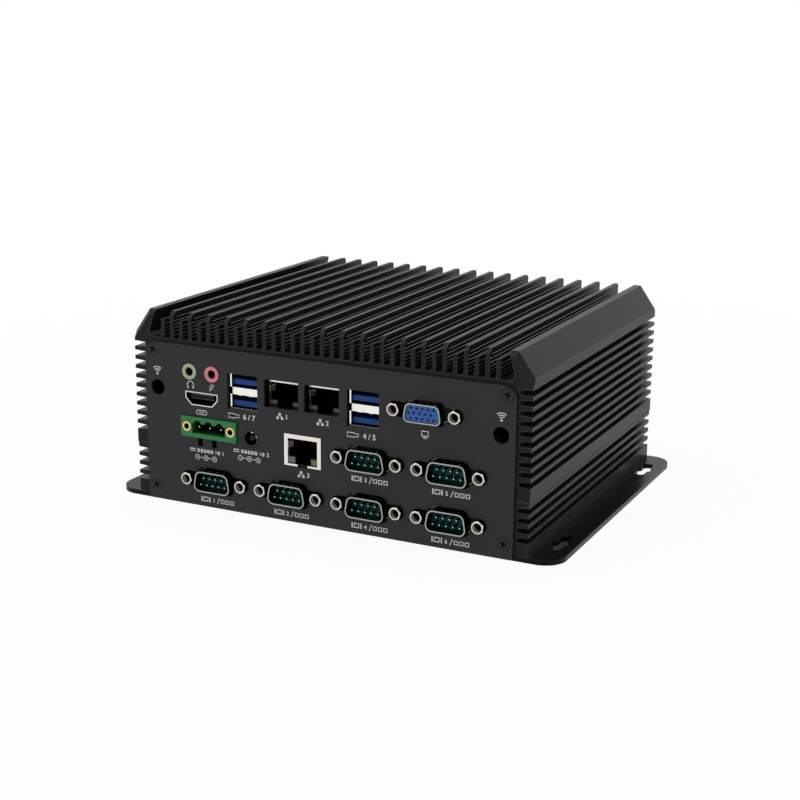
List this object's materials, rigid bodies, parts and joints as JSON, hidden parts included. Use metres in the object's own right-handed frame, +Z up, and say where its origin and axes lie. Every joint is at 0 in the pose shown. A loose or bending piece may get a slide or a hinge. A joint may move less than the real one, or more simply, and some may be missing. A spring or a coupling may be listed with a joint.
{
  "type": "fanless industrial computer",
  "caption": "Fanless box computer in a finned black aluminium housing on a slotted mounting plate, with serial, display, network and power connectors on its front panel.",
  "frame": {"origin": "underside of the mounting plate, at the middle of the housing's width and depth", "axes": "+X to the right seen from the front, +Y from the front panel to the rear panel, +Z up"},
  "size_m": [0.1946, 0.1532, 0.0787],
  "materials": {
    "anodised_housing": "black anodised, fine satin",
    "anodised_panel": "black anodised sheet, matte",
    "plate_black": "black powder coat",
    "screw_black": "blackened steel",
    "nickel": "bright nickel plating",
    "zinc": "tinned steel",
    "brass": "turned brass",
    "gold_pin": "gold flash",
    "teal_plastic": "glass-filled moulding",
    "blue_plastic": "moulded",
    "black_plastic": "moulded",
    "lime_plastic": "moulded, line output",
    "pink_plastic": "moulded, microphone input",
    "green_plastic": "moulded header",
    "clear_window": "light pipe",
    "board_green": "solder mask over laminate",
    "chip_black": "moulding compound",
    "bare_aluminium": "milled",
    "pad_grey": "silicone pad"
  },
  "bodies": {
    "chassis": {"base_plate": "plate_black", "base_plate_screws": "screw_black", "board_link": "black_plastic", "board_screws": "zinc", "board_standoffs": "brass", "com_insulator_1": "teal_plastic", "com_insulator_2": "teal_plastic", "com_insulator_3": "teal_plastic", "com_insulator_4": "teal_plastic", "com_insulator_5": "teal_plastic", "com_insulator_6": "teal_plastic", "com_pins": "gold_pin", "com_shell_1": "nickel", "com_shell_2": "nickel", "com_shell_3": "nickel", "com_shell_4": "nickel", "com_shell_5": "nickel", "com_shell_6": "nickel", "dc_jack_body": "black_plastic", "dc_jack_pin": "gold_pin", "front_panel": "anodised_panel", "hdmi_shell": "nickel", "hdmi_tongue": "black_plastic", "heat_block": "bare_aluminium", "io_board": "board_green", "jackscrews": "nickel", "lan_insert_1": "black_plastic", "lan_insert_2": "black_plastic", "lan_insert_3": "black_plastic", "lan_shield_1": "nickel", "lan_shield_2": "nickel", "lan_shield_3": "nickel", "lan_status_windows": "clear_window", "line_out_jack": "lime_plastic", "lower_housing": "anodised_housing", "main_board": "board_green", "memory_module": "chip_black", "memory_socket": "black_plastic", "microphone_jack": "pink_plastic", "panel_screws": "screw_black", "power_button_bezel": "bare_aluminium", "power_button_nut": "zinc", "power_terminal_block": "green_plastic", "power_terminal_nuts": "brass", "power_terminal_pins": "gold_pin", "processor": "chip_black", "rear_panel": "anodised_panel", "status_lights": "clear_window", "storage_drive": "bare_aluminium", "thermal_pad": "pad_grey", "top_housing": "anodised_housing", "usb_shell_left": "nickel", "usb_shell_rear": "nickel", "usb_shell_right": "nickel", "usb_tongues": "blue_plastic", "vga_insulator": "blue_plastic", "vga_shell": "nickel"},
    "power_button": {"power_button": "bare_aluminium"}
  },
  "joints": [
    {"name": "power_button_press", "type": "slide", "parent": "chassis", "child": "power_button", "axis": [0, -1, 0], "range_m": [0, 0.0012], "stiffness_N_per_m": 1500}
  ]
}
